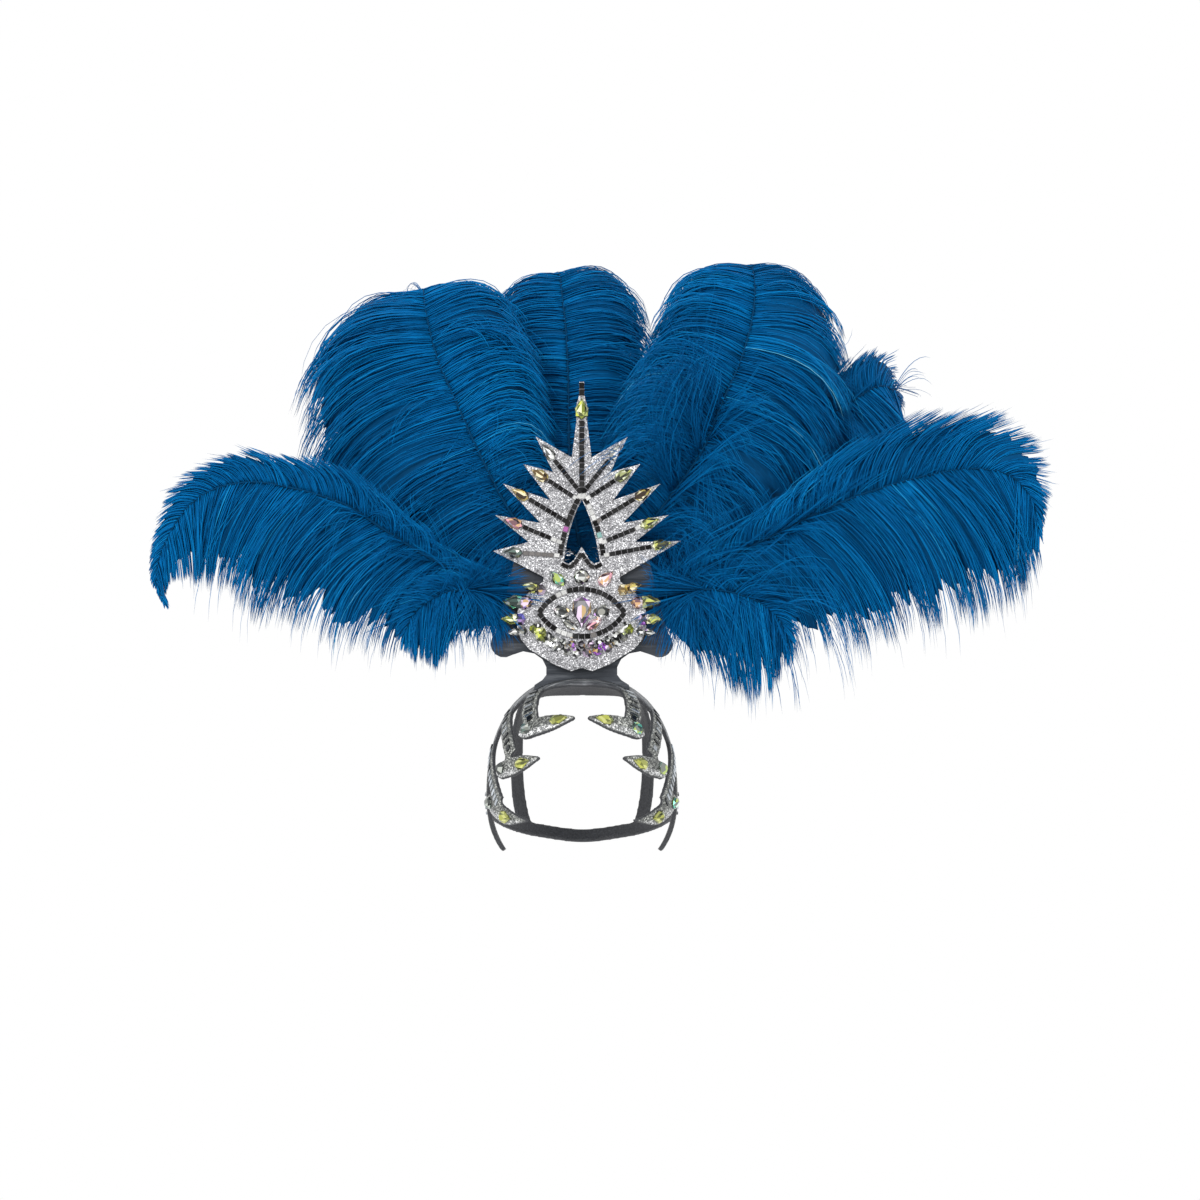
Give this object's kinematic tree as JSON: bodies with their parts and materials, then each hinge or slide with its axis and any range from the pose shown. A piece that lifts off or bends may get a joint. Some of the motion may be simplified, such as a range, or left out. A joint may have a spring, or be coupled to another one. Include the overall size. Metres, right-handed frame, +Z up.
{
  "type": "showgirl feather headdress",
  "caption": "Open foam-rib cap carrying a tall jewelled sunburst crest with an eye motif and a wide fan of blue ostrich plumes; worn on the head.",
  "frame": {"origin": "inside of the crown, where the top of the wearer's head bears", "axes": "+Z up the wearer's head; the wearer faces -Y; +X is the wearer's left, the right side as seen from in front"},
  "size_m": [0.8074, 0.2475, 0.5401],
  "materials": {
    "cap_glitter": "dark grey foam faced with fine grey glitter cloth",
    "dark_foam": "dark grey craft foam, brushed with contact glue, matt",
    "silver_glitter": "silver glitter cloth on foam",
    "mirror_tile": "small square mirror tiles on a ribbon",
    "crystal_green": "foil-backed cut glass with a yellow-green aurora coat",
    "crystal_violet": "foil-backed cut glass with a violet aurora coat",
    "crystal_clear": "foil-backed clear cut glass with a faint aurora coat",
    "plume": "dyed ostrich plume, deep azure blue, soft sheen"
  },
  "bodies": {
    "root": {"cap_frame": "cap_glitter", "crest_backing": "dark_foam", "quill_pad": "dark_foam", "sunburst_plate": "silver_glitter", "eye_plate": "silver_glitter", "lower_point": "silver_glitter", "mirror_tiles_sunburst": "mirror_tile", "mirror_bar_top": "mirror_tile", "mirror_tiles_eye": "mirror_tile", "mirror_tiles_peak": "mirror_tile", "pupil_stone": "crystal_violet", "mast_stone": "crystal_green", "spike_stone_left_1": "crystal_green", "spike_stone_left_2": "crystal_green", "spike_stone_left_3": "crystal_green", "spike_stone_left_4": "crystal_green", "spike_stone_left_5": "crystal_green", "spike_stone_right_1": "crystal_green", "spike_stone_right_2": "crystal_green", "spike_stone_right_3": "crystal_green", "spike_stone_right_4": "crystal_green", "spike_stone_right_5": "crystal_green", "side_stones_left_1": "crystal_green", "side_stones_left_2": "crystal_green", "side_stones_left_3": "crystal_green", "side_stones_left_4": "crystal_green", "side_stones_right_1": "crystal_green", "side_stones_right_2": "crystal_green", "side_stones_right_3": "crystal_green", "side_stones_right_4": "crystal_green", "toe_stone_1_left": "crystal_green", "toe_stone_2_left": "crystal_green", "toe_stone_3_left": "crystal_green", "toe_stone_1_right": "crystal_green", "toe_stone_2_right": "crystal_green", "toe_stone_3_right": "crystal_green", "eye_oval_left": "crystal_clear", "eye_oval_right": "crystal_clear", "eye_petal_left": "crystal_clear", "eye_petal_right": "crystal_clear", "brow_round": "crystal_clear", "brow_drop_left": "crystal_clear", "brow_drop_right": "crystal_clear", "stone_field": "crystal_clear", "heel_stone_1_left": "crystal_clear", "heel_stone_2_left": "crystal_clear", "heel_stone_3_left": "crystal_clear", "heel_stone_1_right": "crystal_clear", "heel_stone_2_right": "crystal_clear", "heel_stone_3_right": "crystal_clear", "plume_centre": "plume", "plume_left_high": "plume", "plume_right_high": "plume", "plume_left_low": "plume", "plume_right_low": "plume", "plume_right_back": "plume", "base_plume_right": "plume", "base_plume_left": "plume"}
  },
  "joints": []
}
